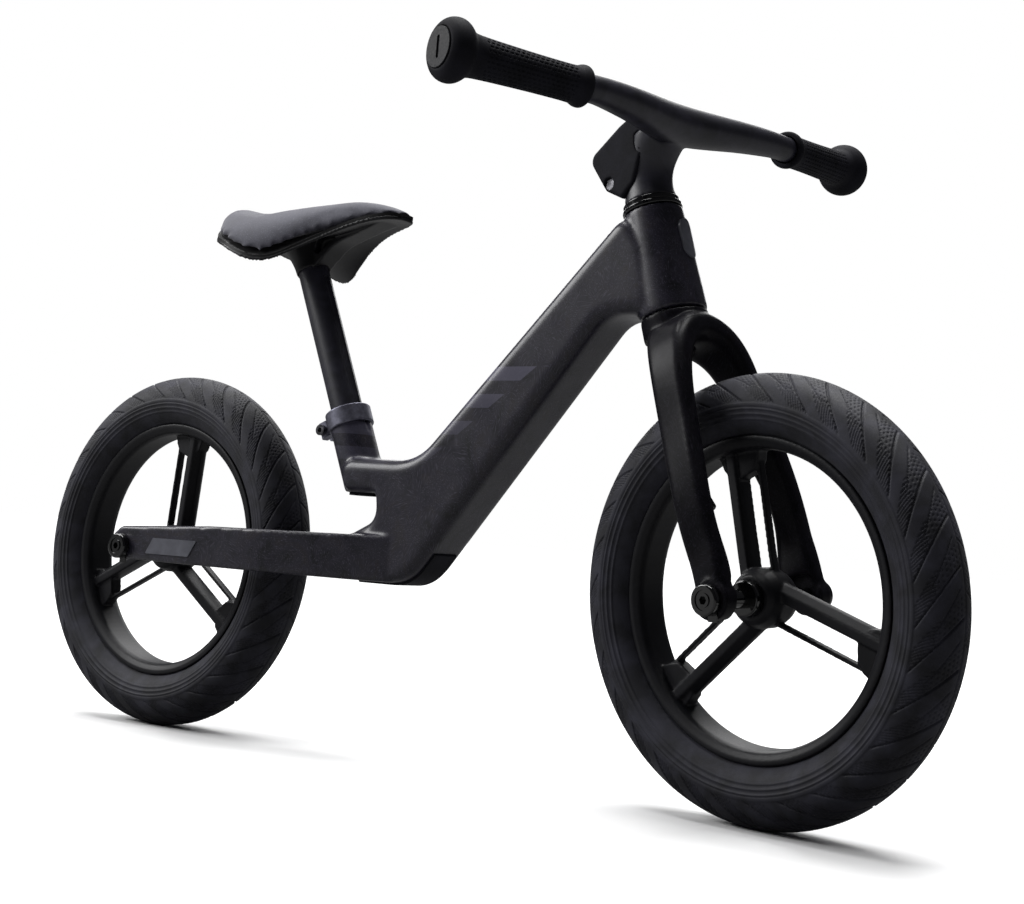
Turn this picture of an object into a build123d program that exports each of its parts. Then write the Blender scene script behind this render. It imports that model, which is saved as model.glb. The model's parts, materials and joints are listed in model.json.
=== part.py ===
"""Child's balance bike: moulded frame, three-blade wheels, one-piece bar and stem, sliding saddle.

Millimetres. +X forward, +Y to the rider's left, +Z up. The origin lies on the ground midway
between the two axles. The front end stands turned a little to the rider's right.
"""
import math
import os

from build123d import *

os.makedirs("parts", exist_ok=True)

# ---------------------------------------------------------------- driving dimensions
WHEELBASE = 574.0
TYRE_R, TYRE_HALF_W = 148.5, 23.7        # 47-203 tyre
BEAD_SEAT_R = 101.5                      # 203 mm bead seat diameter
RIM_INNER_R, RIM_LIP_R, RIM_HALF_W = 97.3, 106.5, 15.5
HEAD_ANGLE = 73.2                        # steering axis above the ground, degrees
HEAD_GROUND_X = 303.2                    # where the steering axis meets the ground
STEER_AT_REST = -9.5                     # front end turned right by this much, degrees
SEAT_ANGLE = 66.0
SEAT_AXIS_POINT = (-105.5, 278.0)        # a point of the seat post's axis, x and z
HUB_HALF = 45.5                          # axle shoulder to wheel centre plane
DROPOUT_T = 13.0                         # stay and fork tip thickness
AXLE_R, AXLE_BOLT_R = 5.0, 3.0
FIT = 0.05                               # radial clearance of a running fit
POST_R = 12.7
SEAT_TUBE_R = 16.6
SEAT_TUBE_TOP, SEAT_TUBE_BOTTOM_Z = -11.5, 204.0   # top along the axis from its point; bottom height
POST_INSERTION = 30.0
STEERER_R = 12.7
HEAD_BORE_R = 14.8
BEARING_OD_R, BEARING_H = 18.0, 7.0
HEAD_BOTTOM, HEAD_TOP = 354.4, 433.5     # along the steering axis from the ground
NECK_BOTTOM = 441.0
BAR_R = 9.6

REAR_X, FRONT_X = -WHEELBASE / 2, WHEELBASE / 2
AXLE_Z = TYRE_R

# ---------------------------------------------------------------- shared axes
STEER_DIR = Vector(-math.cos(math.radians(HEAD_ANGLE)), 0, math.sin(math.radians(HEAD_ANGLE)))
STEER_FWD = Vector(STEER_DIR.Z, 0, -STEER_DIR.X)
STEER_AXIS = Axis((HEAD_GROUND_X, 0, 0), tuple(STEER_DIR))
SEAT_DIR = Vector(-math.cos(math.radians(SEAT_ANGLE)), 0, math.sin(math.radians(SEAT_ANGLE)))
SEAT_FWD = Vector(SEAT_DIR.Z, 0, -SEAT_DIR.X)


def steer_plane(along, forward=0.0):
    """Plane square to the steering axis, local x forward, this far along the axis."""
    origin = Vector(HEAD_GROUND_X, 0, 0) + STEER_DIR * along + STEER_FWD * forward
    return Plane(origin=origin, x_dir=STEER_FWD, z_dir=STEER_DIR)


def seat_plane(along, forward=0.0):
    """Plane square to the seat post's axis, local x forward."""
    origin = Vector(SEAT_AXIS_POINT[0], 0, SEAT_AXIS_POINT[1]) + SEAT_DIR * along + SEAT_FWD * forward
    return Plane(origin=origin, x_dir=SEAT_FWD, z_dir=SEAT_DIR)


def rod(plane, radius, length, bore=0.0):
    """Round bar or tube that starts on a plane and runs along its normal."""
    face = plane * Circle(radius)
    if bore:
        face -= plane * Circle(bore)
    return extrude(face, length)


def cross_rod(x, z, radius, y_from, y_to, bore=0.0):
    """Round bar or tube along Y."""
    plane = Plane(origin=(x, y_from, z), x_dir=(1, 0, 0), z_dir=(0, 1, 0))
    return rod(plane, radius, y_to - y_from, bore)


def side_slab(points, radii, half_width):
    """Closed rounded side outline (x, z), as thick as twice half_width about y = 0."""
    outline = FilletPolyline(*points, radius=radii, close=True)
    face = Plane.XZ * make_face(outline)
    return extrude(face, half_width, both=True)


def turned(points, fillets=None):
    """Solid of revolution about Y from a closed (radius, y) outline."""
    if fillets:
        outline = FilletPolyline(*points, radius=fillets, close=True)
    else:
        outline = Polyline(*points, close=True)
    return revolve(make_face(outline), Axis.Y)


def both_sides(shape):
    """A shape at y < 0 and its mirror image, as right and left."""
    return shape, mirror(shape, about=Plane.XZ)


def steered(shape):
    """Turn a front-end shape from straight ahead to its place at rest."""
    return shape.rotate(STEER_AXIS, STEER_AT_REST)


PARTS = {}


def add(name, shape, front=False):
    """Keep a finished piece under its node name."""
    PARTS[name] = steered(shape) if front else shape


# ---------------------------------------------------------------- wheels
BLADE_TILT = {"front": 101.5, "rear": 94.5}   # first spoke pair at rest, degrees from forward
HUB_R, HUB_END_R, HUB_SHELL_HALF = 20.0, 14.5, 16.5
WHEEL_BEARING_R, WHEEL_BEARING_W = 11.0, 6.0
WIDE_BLADE = (-15.7, -11.0, -4.6, -3.7)  # outer edge, outer shoulder, inner shoulder, inner edge
WIDE_BLADE_HALF_D, BLADE_RIDGE = 8.0, 2.2
THIN_BLADE, THIN_BLADE_HALF_D = (9.9, 12.7), 3.4
WINDOW_R = 82.0


def rim_ring():
    """Moulded rim with bead seats and a shallow well."""
    half = [(RIM_INNER_R, 9.2), (98.6, 13.2), (103.0, RIM_HALF_W), (RIM_LIP_R, RIM_HALF_W),
            (RIM_LIP_R, 13.4), (BEAD_SEAT_R, 12.6), (BEAD_SEAT_R, 6.5), (100.2, 4.5)]
    points = half + [(r, -y) for r, y in reversed(half)]
    radii = [2.5, 3.0, 2.0, 0.9, 0.5, 0.6, 1.0, 1.0]
    return turned(points, radii + radii[::-1])


def blade(section, inner_r, outer_r):
    """Straight bar along +Z from inner_r to outer_r with a closed (n, y) section."""
    face = Plane.XY * make_face(Polyline(*section, close=True))
    return Pos(0, 0, inner_r) * extrude(face, outer_r - inner_r)


def spoke_pair():
    """Wide bevelled blade and thin blade along +Z, joined by a web at the rim."""
    edge, shoulder, inner_shoulder, inner = WIDE_BLADE
    d, ridge = WIDE_BLADE_HALF_D, BLADE_RIDGE
    wide = blade([(edge, ridge), (shoulder, d), (inner_shoulder, d), (inner, ridge),
                  (inner, -ridge), (inner_shoulder, -d), (shoulder, -d), (edge, -ridge)], 4, 98)
    near, far = THIN_BLADE
    d = THIN_BLADE_HALF_D
    thin = blade([(near, d), (far, d), (far, -d), (near, -d)], 8, 98)
    root = FilletPolyline((-19, 99), (-15.7, 86), (-3.7, 79), (8.9, 83), (13, 90), (16, 99),
                          radius=[5, 3, 3, 4], close=False)
    web = Plane.XZ * make_face(root + Line(root @ 1, root @ 0))
    web = extrude(web, 5.5, both=True)
    return wide + thin + web


def wheel_casting(tilt, valve_tilt, mirrored):
    """Rim, three spoke pairs and hub shell as one moulding."""
    rim = rim_ring()
    body = turned([(0, -HUB_SHELL_HALF), (HUB_END_R, -HUB_SHELL_HALF), (17.5, -13), (HUB_R, -6),
                   (HUB_R, 6), (17.5, 13), (HUB_END_R, HUB_SHELL_HALF), (0, HUB_SHELL_HALF)])
    for k in range(3):
        body += spoke_pair().rotate(Axis.Y, 90 - tilt + 120 * k)
    envelope = turned([(0, -15), (98.5, -15), (98.5, 15), (0, 15)]) + turned(
        [(0, -HUB_SHELL_HALF), (24, -HUB_SHELL_HALF), (24, HUB_SHELL_HALF), (0, HUB_SHELL_HALF)])
    body = (body & envelope) + rim
    body -= cross_rod(0, 0, AXLE_R + 1.5, -HUB_SHELL_HALF, HUB_SHELL_HALF)
    for y in (-HUB_SHELL_HALF, HUB_SHELL_HALF - WHEEL_BEARING_W):
        body -= cross_rod(0, 0, WHEEL_BEARING_R, y, y + WHEEL_BEARING_W)
    valve_hole = Pos(0, 0, 90) * Cylinder(VALVE_R + 0.1, 30)
    body -= valve_hole.rotate(Axis.Y, -valve_tilt)
    return mirror(body, about=Plane.YZ) if mirrored else body


VALVE_R = 3.9
VALVE_TILT = {"front": 40.0, "rear": 90.0}   # from straight up, towards the bike's middle
TUBE_SECTION = (124.5, 19.5, 20.5)       # inner tube: centre radius, half height, half width
VALVE_FOOT_R = 104.9


def tyre_solid():
    """Hollow tyre casing with beads that sit inside the rim's lips."""
    centre_r, half_h, half_w, wall = 125.6, TYRE_R - 125.6, TYRE_HALF_W, 2.6
    skin = Plane.XY * Pos(centre_r, 0) * Ellipse(half_h, half_w)
    cavity = Plane.XY * Pos(centre_r - 0.8, 0) * Ellipse(half_h - wall, half_w - wall)
    mouth = Pos(103, 0) * Rectangle(14, 22)
    keep = Pos(140, 0) * Rectangle(66, 60)
    beads = Pos(105.3, 12.0 - 0.9) * Rectangle(7.4, 2.6) + Pos(105.3, -12.0 + 0.9) * Rectangle(7.4, 2.6)
    section = ((skin & keep) + beads) - cavity - mouth
    ring = revolve(section, Axis.Y)
    return ring - rim_ring()


def wheel_pieces(prefix, x, mirrored, front):
    """All the pieces that turn with one wheel."""
    place = Pos(x, 0, AXLE_Z)
    centre_r, half_h, half_w = TUBE_SECTION
    casting = wheel_casting(BLADE_TILT[prefix], VALVE_TILT[prefix], mirrored)
    core = turned([(0, -30), (RIM_INNER_R, -30), (RIM_INNER_R, 30), (0, 30)])
    add(prefix + "_wheel_rim", place * (casting - core), front)
    add(prefix + "_wheel_spider", place * (casting & core), front)
    add(prefix + "_tyre", place * tyre_solid(), front)
    section = Pos(centre_r, 0) * Ellipse(half_h, half_w) - Pos(centre_r, 0) * Ellipse(half_h - 1, half_w - 1)
    add(prefix + "_inner_tube", place * revolve(section, Axis.Y), front)
    tilt = VALVE_TILT[prefix] if mirrored else -VALVE_TILT[prefix]
    stem = Pos(0, 0, 84) * Cylinder(VALVE_R, VALVE_FOOT_R - 84, align=(Align.CENTER, Align.CENTER, Align.MIN))
    stem += Pos(0, 0, 76) * Cylinder(2.6, 8, align=(Align.CENTER, Align.CENTER, Align.MIN))
    add(prefix + "_valve", place * stem.rotate(Axis.Y, tilt), front)
    cap = Pos(0, 0, 73) * Cylinder(4.2, 11, align=(Align.CENTER, Align.CENTER, Align.MIN))
    cap -= Pos(0, 0, 76) * Cylinder(2.6, 8, align=(Align.CENTER, Align.CENTER, Align.MIN))
    cap = fillet(cap.faces().sort_by(Axis.Z)[0].edges(), 1.5)
    add(prefix + "_valve_cap", place * cap.rotate(Axis.Y, tilt), front)
    y = HUB_SHELL_HALF
    bearing = cross_rod(0, 0, WHEEL_BEARING_R, -y, -y + WHEEL_BEARING_W, AXLE_R + FIT)
    for side, ring in zip(("right", "left"), both_sides(bearing)):
        add(f"{prefix}_hub_bearing_{side}", place * ring, front)


# ---------------------------------------------------------------- axles and their hardware
CUP_R, CUP_H, CUP_GAP = 11.6, 7.0, 0.5
SPACER_R = 6.4
CAP_R, CAP_H, WASHER_R, WASHER_T = 10.2, 5.2, 9.0, 1.2


def axle_pieces(prefix, x, front):
    """Fixed axle, its spacers, retaining washers and glossy cap bolts."""
    z = AXLE_Z
    axle = cross_rod(x, z, AXLE_R, -HUB_HALF, HUB_HALF)
    for y in (-HUB_HALF, HUB_HALF - 22):
        axle -= cross_rod(x, z, AXLE_BOLT_R, y, y + 22)
    add(prefix + "_axle", axle, front)
    cup_y = -HUB_SHELL_HALF - CUP_GAP
    spacer = cross_rod(x, z, SPACER_R, -HUB_HALF, cup_y - CUP_H + 0.01, AXLE_R)
    cup = cross_rod(x, z, CUP_R, cup_y - CUP_H, cup_y, AXLE_R)
    cup = fillet(cup.faces().sort_by(Axis.Y)[0].edges().sort_by(SortBy.LENGTH)[-1], 1.2)
    for side, piece in zip(("right", "left"), both_sides(cup + spacer)):
        add(f"{prefix}_hub_spacer_{side}", piece, front)
    face_y = -HUB_HALF - DROPOUT_T
    washer = cross_rod(x, z, WASHER_R, face_y - WASHER_T, face_y, AXLE_BOLT_R)
    tab = Pos(x + 4, face_y - WASHER_T / 2, z - 9) * Box(7, WASHER_T, 9)
    for side, piece in zip(("right", "left"), both_sides(washer + tab - cross_rod(
            x, z, AXLE_BOLT_R, face_y - WASHER_T, face_y))):
        add(f"{prefix}_axle_washer_{side}", piece, front)
    head_y = face_y - WASHER_T
    head = cross_rod(x, z, CAP_R, head_y - CAP_H, head_y)
    head = fillet(head.faces().sort_by(Axis.Y)[0].edges(), 1.4)
    socket_plane = Plane(origin=(x, head_y - CAP_H, z), x_dir=(1, 0, 0), z_dir=(0, 1, 0))
    head -= extrude(socket_plane * RegularPolygon(2.9, 6), 3.4)
    head -= extrude(socket_plane * (Circle(6.6) - Circle(4.6)), 0.8)
    bolt = head + cross_rod(x, z, AXLE_BOLT_R, head_y, -HUB_HALF + 20)
    for side, piece in zip(("right", "left"), both_sides(bolt)):
        add(f"{prefix}_axle_bolt_{side}", piece, front)


# ---------------------------------------------------------------- frame
FRAME_HALF_W, FRAME_ROUND = 23.5, 9.5
STAY_TOP_Z, STAY_BOTTOM_Z = 171.2, 136.6
BELLY_X = -8.5                           # where the spar's underside meets the belly
GUARD_T = 1.8


def frame_body():
    """Spar from head tube to the junction under the seat tube, as one rounded slab."""
    points = [(-104, STAY_BOTTOM_Z), (-104, 168), (-74, 170), (-45, 184), (-48, SEAT_TUBE_BOTTOM_Z),
              (-82, SEAT_TUBE_BOTTOM_Z), (-87, 231), (-9, 230), (167, 413.5), (187, 388),
              (200, 338), (156, 338), (BELLY_X, STAY_BOTTOM_Z)]
    radii = [12, 12, 20, 12, 4, 10, 12, 46, 12, 12, 12, 26, 36]
    slab = side_slab(points, radii, FRAME_HALF_W)
    rails = slab.faces().filter_by(Axis.Y).edges()
    return fillet(rails, FRAME_ROUND)


def stay(sign):
    """One chain-stay arm: plan outline and side outline cut from each other."""
    outer = HUB_HALF + DROPOUT_T
    plan = [(-301, outer), (-215, outer - 0.3), (-138, 53), (-24, 23.5), (-24, 5), (-104, 5),
            (-106, 29), (-150, 38.5), (-205, HUB_HALF), (-301, HUB_HALF)]
    plan_radii = [3, 90, 120, 3, 2, 6, 14, 60, 80, 3]
    outline = FilletPolyline(*[(x, sign * y) for x, y in plan], radius=plan_radii, close=True)
    arm = Pos(0, 0, 130) * extrude(make_face(outline), 50)
    side = [(-301, 138.4), (-301, 157.5), (-291, 165), (-190, 169.6), (-60, STAY_TOP_Z),
            (-20, STAY_TOP_Z), (-20, STAY_BOTTOM_Z), (-60, STAY_BOTTOM_Z)]
    arm &= side_slab(side, [9, 6, 8, 200, 200, 3, 3, 200], 70)
    return arm


def head_tube_solid():
    """Slightly waisted head tube round the steering axis."""
    length = HEAD_TOP - HEAD_BOTTOM
    foot_r, waist_r, top_r = 24.4, 23.3, 21.5
    profile = Polyline((0, 0), (foot_r, 0), (foot_r, 4))
    profile += Spline((foot_r, 4), (waist_r, length * 0.5), (top_r, length))
    profile += Polyline((top_r, length), (0, length), (0, 0))
    face = make_face(profile)
    plane = Plane(origin=steer_plane(HEAD_BOTTOM).origin, x_dir=STEER_FWD, z_dir=(0, -1, 0))
    return revolve(plane * face, Axis(tuple(plane.origin), tuple(STEER_DIR)))


def seat_tube_solid():
    """Seat tube stub, cut level at its foot."""
    tube = rod(seat_plane(-95), SEAT_TUBE_R, 95 + SEAT_TUBE_TOP)
    return tube & (Pos(-90, 0, SEAT_TUBE_BOTTOM_Z + 100) * Box(120, 60, 200))


def belly_guard_solid():
    """Stick-on rubber bumper that follows the frame's lowest corner."""
    corner_x, top_x, top_z = BELLY_X, BELLY_X + 19.5, 161.0
    rise = math.atan2(top_z - STAY_BOTTOM_Z, top_x - corner_x)
    out_x, out_z = GUARD_T * math.sin(rise), -GUARD_T * math.cos(rise)
    outer_corner = corner_x + GUARD_T * math.tan(rise / 2)
    points = [(-62, STAY_BOTTOM_Z - GUARD_T), (outer_corner, STAY_BOTTOM_Z - GUARD_T),
              (top_x + out_x, top_z + out_z), (top_x, top_z), (corner_x, STAY_BOTTOM_Z),
              (-62, STAY_BOTTOM_Z)]
    return side_slab(points, [1.2, 36 + GUARD_T, 1.2, 0.3, 36, 0.3], 13)


def frame_solid():
    """The whole frame with its bores and seats."""
    body = frame_body() + head_tube_solid() + seat_tube_solid() + stay(1) + stay(-1)
    length = HEAD_TOP - HEAD_BOTTOM
    body -= rod(steer_plane(HEAD_BOTTOM), HEAD_BORE_R, length)
    body -= rod(steer_plane(HEAD_BOTTOM), BEARING_OD_R, BEARING_H)
    body -= rod(steer_plane(HEAD_TOP - BEARING_H), BEARING_OD_R, BEARING_H)
    body -= rod(seat_plane(-95), POST_R + FIT, 100)
    body -= Pos(-80, 0, 265) * Box(16, 2.4, 24).rotate(Axis.Y, SEAT_ANGLE - 90)
    for y in (-HUB_HALF - DROPOUT_T - 1, HUB_HALF - 1):
        body -= cross_rod(REAR_X, AXLE_Z, AXLE_BOLT_R, y, y + DROPOUT_T + 2)
    body -= PARTS["seat_tube_plug"]
    return body


def frame_pieces():
    """Frame, its bumper, plug, badge and plates."""
    plug = Pos(-72.6, 0, SEAT_TUBE_BOTTOM_Z - 2.2) * Box(27, 22, 2.2, align=(Align.CENTER, Align.CENTER, Align.MIN))
    plug = fillet(plug.edges().filter_by(Axis.Z), 8)
    core = rod(seat_plane(-90), POST_R - 0.3, 16) & (Pos(-72, 0, SEAT_TUBE_BOTTOM_Z + 25) * Box(80, 40, 50))
    add("seat_tube_plug", plug + core)
    frame = frame_solid()
    add("frame", frame)
    add("belly_guard", belly_guard_solid() - frame)
    badge_centre = steer_plane(HEAD_TOP - 28, 23)
    badge_plane = Plane(origin=badge_centre.origin, x_dir=(0, 1, 0), z_dir=STEER_FWD)
    badge = extrude(badge_plane * SlotOverall(30, 15, rotation=90), 2.2, both=True)
    add("head_badge", (badge & head_skin(1.0)) - frame)
    for sign, side in ((-1, "right"), (1, "left")):
        plate = Plane.XZ * make_face(FilletPolyline(
            (-257, 144), (-207, 144), (-199, 157), (-249, 157), radius=0.8, close=True))
        plate = Pos(0, sign * 58, 0) * extrude(plate, 4, both=True)
        add(f"stay_plate_{side}", (plate & stay_skin(sign, 0.7)) - frame)


def head_skin(thick):
    """Shell just outside the middle of the head tube."""
    length = HEAD_TOP - HEAD_BOTTOM
    plane = steer_plane(HEAD_BOTTOM)
    return rod(plane, 23.4 + thick, length) - rod(plane, 18, length)


def stay_skin(sign, thick):
    """Stay arm grown sideways, for thin plates that lie on it."""
    return Pos(0, sign * thick, 0) * stay(sign)


# ---------------------------------------------------------------- headset
RACE_T, COVER_T = 1.0, 3.4


def headset_pieces():
    """Bearings, lower race ring and the two glossy cover rings."""
    lower = rod(steer_plane(HEAD_BOTTOM), BEARING_OD_R, BEARING_H, STEERER_R + FIT)
    add("headset_bearing_lower", lower)
    upper = rod(steer_plane(HEAD_TOP - BEARING_H), BEARING_OD_R, BEARING_H, STEERER_R + FIT)
    add("headset_bearing_upper", upper)
    cover = rod(steer_plane(HEAD_TOP), 21.8, COVER_T, STEERER_R + 0.6)
    cover = fillet(cover.edges().filter_by(GeomType.CIRCLE).sort_by(SortBy.RADIUS)[-2:], 0.9)
    add("headset_cover", cover)
    start = HEAD_TOP + COVER_T + 0.2
    ring = rod(steer_plane(start), 20.6, NECK_BOTTOM - start, STEERER_R)
    ring = fillet(ring.edges().filter_by(GeomType.CIRCLE).sort_by(SortBy.RADIUS)[-2:], 0.8)
    add("headset_spacer", ring, front=True)
    race = rod(steer_plane(HEAD_BOTTOM - RACE_T), 17.0, RACE_T - FIT, STEERER_R)
    add("crown_race", race, front=True)


# ---------------------------------------------------------------- fork
LEG_Y = HUB_HALF + DROPOUT_T / 2
CROWN_TOP = HEAD_BOTTOM - RACE_T
STEERER_FOOT, STEERER_TOP = CROWN_TOP - 20, 474.0


def leg_section(x, y, z, lean, roll, chord, thick):
    """Rounded leg section; lean tips its normal forward and roll tips it inwards, degrees."""
    normal = Vector(0, 0, 1).rotate(Axis.Y, -lean).rotate(Axis.X, roll)
    chord_dir = Vector(1, 0, 0).rotate(Axis.Y, -lean)
    plane = Plane(origin=(x, y, z), x_dir=chord_dir, z_dir=normal)
    corner = min(chord, thick) * 0.44
    return plane * RectangleRounded(chord, thick, corner)


def fork_leg():
    """Left leg: tip, blade and shoulder that turns in to the middle of the crown."""
    sections = [
        leg_section(285.5, 51.8, 153, 21, 2, 25.0, DROPOUT_T),
        leg_section(272.5, 50.6, 188, 21, 2, 26.6, 13.2),
        leg_section(256.5, 48.0, 231, 21, 5, 28.2, 13.8),
        leg_section(237.0, 39.8, 280, 20, 11, 30.0, 15.0),
        leg_section(227.5, 33.6, 304, 19, 24, 33.0, 17.5),
        leg_section(219.5, 23.5, 318.5, 18, 52, 38.0, 20.0),
        leg_section(213.5, 10.0, 325.5, 17, 78, 43.0, 22.0),
        leg_section(212.0, 0, 326.5, 17, 90, 45.0, 22.5),
    ]
    return loft(sections)


def fork_pieces():
    """Fork with its crown, and the steerer tube pressed into it."""
    leg = fork_leg()
    tip = cross_rod(FRONT_X, AXLE_Z, 13.4, HUB_HALF, HUB_HALF + DROPOUT_T)
    left_half = Pos(240, 50, 250) * Box(200, 100, 300)
    side = (leg & left_half) + tip
    fork = side + mirror(side, about=Plane.XZ)
    crown = rod(steer_plane(CROWN_TOP - 16), 24.2, 16)
    fork += crown
    fork -= rod(steer_plane(CROWN_TOP), 80, 60)
    fork -= rod(steer_plane(STEERER_FOOT), STEERER_R, 60)
    fork -= rod(steer_plane(STEERER_FOOT - 40), 10.5, 41)
    fork -= cross_rod(FRONT_X, AXLE_Z, CUP_R + 3, -HUB_HALF, HUB_HALF)
    for y in (-HUB_HALF - DROPOUT_T - 1, HUB_HALF - 1):
        fork -= cross_rod(FRONT_X, AXLE_Z, AXLE_BOLT_R, y, y + DROPOUT_T + 2)
    add("fork", fork, front=True)
    steerer = rod(steer_plane(STEERER_FOOT), STEERER_R, STEERER_TOP - STEERER_FOOT, 10.5)
    add("steerer_tube", steerer, front=True)


# ---------------------------------------------------------------- handlebar
BAR_POINTS = ((0.0, 198.0, 476.8, 17.0, 14.4), (30.0, 201.5, 477.2, 15.8, 13.4),
              (60.0, 207.0, 478.2, 13.2, 11.7), (90.0, 210.6, 478.8, 10.8, 10.2),
              (109.0, 211.4, 478.4, 9.8, 9.6))     # y, x, z, half depth, half height
GRIP_IN = Vector(211.3, 112.0, 478.3)
GRIP_OUT = Vector(194.9, 213.0, 482.0)
NECK = ((NECK_BOTTOM, 0.0, 19.6, 19.6), (450.5, 0.5, 17.9, 17.4), (464.0, 5.0, 18.6, 17.0),
        (477.0, 15.0, 22.5, 19.0), (488.0, 24.0, 25.0, 21.0))
PAD_HALF_W = 19.0


def grip_plane(along):
    """Plane square to the left grip, this far outwards from the grip's inner end."""
    direction = (GRIP_OUT - GRIP_IN).normalized()
    return Plane(origin=GRIP_IN + direction * along, x_dir=(direction.Y, -direction.X, 0), z_dir=direction)


def bar_section(y, x, z, half_depth, half_height):
    """Oval bar section square to Y."""
    return Plane(origin=(x, y, z), x_dir=(1, 0, 0), z_dir=(0, -1, 0)) * Ellipse(half_depth, half_height)


def bar_wing():
    """Middle of the bar, one smooth tapering wing from grip to grip."""
    sections = []
    for y, x, z, rx, rz in BAR_POINTS[:0:-1]:
        sections.append(bar_section(-y, x, z, rx, rz))
    for y, x, z, rx, rz in BAR_POINTS:
        sections.append(bar_section(y, x, z, rx, rz))
    return loft(sections)


def bar_solid():
    """One-piece bar and stem with its steerer socket."""
    end = rod(grip_plane(-5), BAR_R, (GRIP_OUT - GRIP_IN).length + 6)
    bar = bar_wing() + end + mirror(end, about=Plane.XZ)
    neck = loft([steer_plane(s, fwd) * Ellipse(rx, ry) for s, fwd, rx, ry in NECK])
    bar += neck
    bar -= rod(steer_plane(NECK_BOTTOM - 1), STEERER_R, STEERER_TOP - NECK_BOTTOM + 1)
    bar -= cross_rod(150.5, 436.0, 2.5, -40, 40)
    return bar


def bar_pieces():
    """Bar, stem pad, clamp bolt, grips and grip ends."""
    bar = bar_solid()
    add("handlebar", bar, front=True)
    outline = [(163, 424), (147, 431), (129, 456), (158, 478), (176, 488), (182, 462), (174, 434)]
    pad = side_slab(outline, [2, 5, 8, 30, 3, 6, 6], PAD_HALF_W)
    pad = fillet(pad.faces().filter_by(Axis.Y).edges(), 3.0)
    pad -= bar
    pad -= rod(steer_plane(NECK_BOTTOM - 12), 60, 12.6)
    pad -= rod(steer_plane(NECK_BOTTOM - 1), STEERER_R + 1, 60)
    pad = pad.solids().sort_by(Axis.X)[0]
    pad -= cross_rod(150.5, 436.0, 4.6, -40, 40)
    add("stem_pad", pad, front=True)
    bolt = cross_rod(150.5, 436.0, 2.5, -13, 13)
    bolt += cross_rod(150.5, 436.0, 4.4, -17, -13)
    add("stem_bolt", bolt, front=True)
    profile = [(BAR_R, 0), (13.0, 0), (14.4, 2.6), (13.6, 6.4), (12.3, 8.6), (12.6, 50), (13.6, 86),
               (15.0, 93), (19.6, 97.5), (21.0, 103.0), (19.0, 109.5), (13.0, 112.6), (13.0, 108.5),
               (BAR_R, 108.5)]
    radii = [0.5, 1.2, 1.8, 1.5, 3, 60, 60, 6, 3.5, 4, 4, 0.8, 0.8, 0.5]
    place = Plane(origin=grip_plane(0).origin, x_dir=grip_plane(0).x_dir, z_dir=grip_plane(0).y_dir * -1)
    ring = revolve(place * make_face(FilletPolyline(*profile, radius=radii, close=True)),
                   Axis(tuple(place.origin), tuple(grip_plane(0).z_dir)))
    end = rod(grip_plane(108.5), 13.0, 4.9)
    end -= extrude(grip_plane(112.4) * SlotOverall(15, 3, rotation=90), 2)
    plug_core = rod(grip_plane(105.0), BAR_R - 2.0, 3.5)
    end += plug_core
    ring = ring - end
    for side, grip, cap in zip(("left", "right"), both_sides(ring), both_sides(end)):
        add(f"grip_{side}", grip, front=True)
        add(f"grip_end_{side}", cap, front=True)


# ---------------------------------------------------------------- seat
# x, half width, edge height, crown height of the pad's sections from tail to nose
SADDLE = ((-244, 14, 427, 444.5), (-237, 31, 420, 445), (-223, 46, 411, 441.5), (-204, 56, 404, 437.5),
          (-182, 57.5, 394, 436.5), (-160, 51, 391, 437.5), (-140, 41, 400, 438.5), (-120, 31.5, 411, 439.5),
          (-100, 25, 420, 440), (-80, 20.5, 425.5, 438.5), (-66, 16, 427.5, 436), (-56, 8, 428, 432.5))
PAD_DROP, TRIM_T, BASE_T = 20.0, 2.4, 3.2
SHROUD_TOP = 128.0


def saddle_layer(top_drop, bottom_drop, edge_top, edge_bottom, inset=0.0):
    """Layer between two arched surfaces; drops are at the middle, edge heights at the rim."""
    sections = []
    for x, half_w, edge_z, crown_z in SADDLE:
        half_w -= inset * min(1.0, half_w / 20)
        rise = crown_z - edge_z
        middle_top = edge_z + edge_top + max(rise - top_drop - edge_top, rise * 0.18)
        middle_low = edge_z + edge_bottom + max(rise - bottom_drop - edge_bottom, rise * 0.12)
        plane = Plane(origin=(x, 0, 0), x_dir=(0, 1, 0), z_dir=(1, 0, 0))
        low, high = edge_z + edge_bottom, edge_z + edge_top
        line = ThreePointArc((-half_w, high), (0, middle_top), (half_w, high))
        line += Line((half_w, high), (half_w, low))
        line += ThreePointArc((half_w, low), (0, middle_low), (-half_w, low))
        line += Line((-half_w, low), (-half_w, high))
        sections.append(plane * make_face(line))
    return loft(sections)


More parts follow.
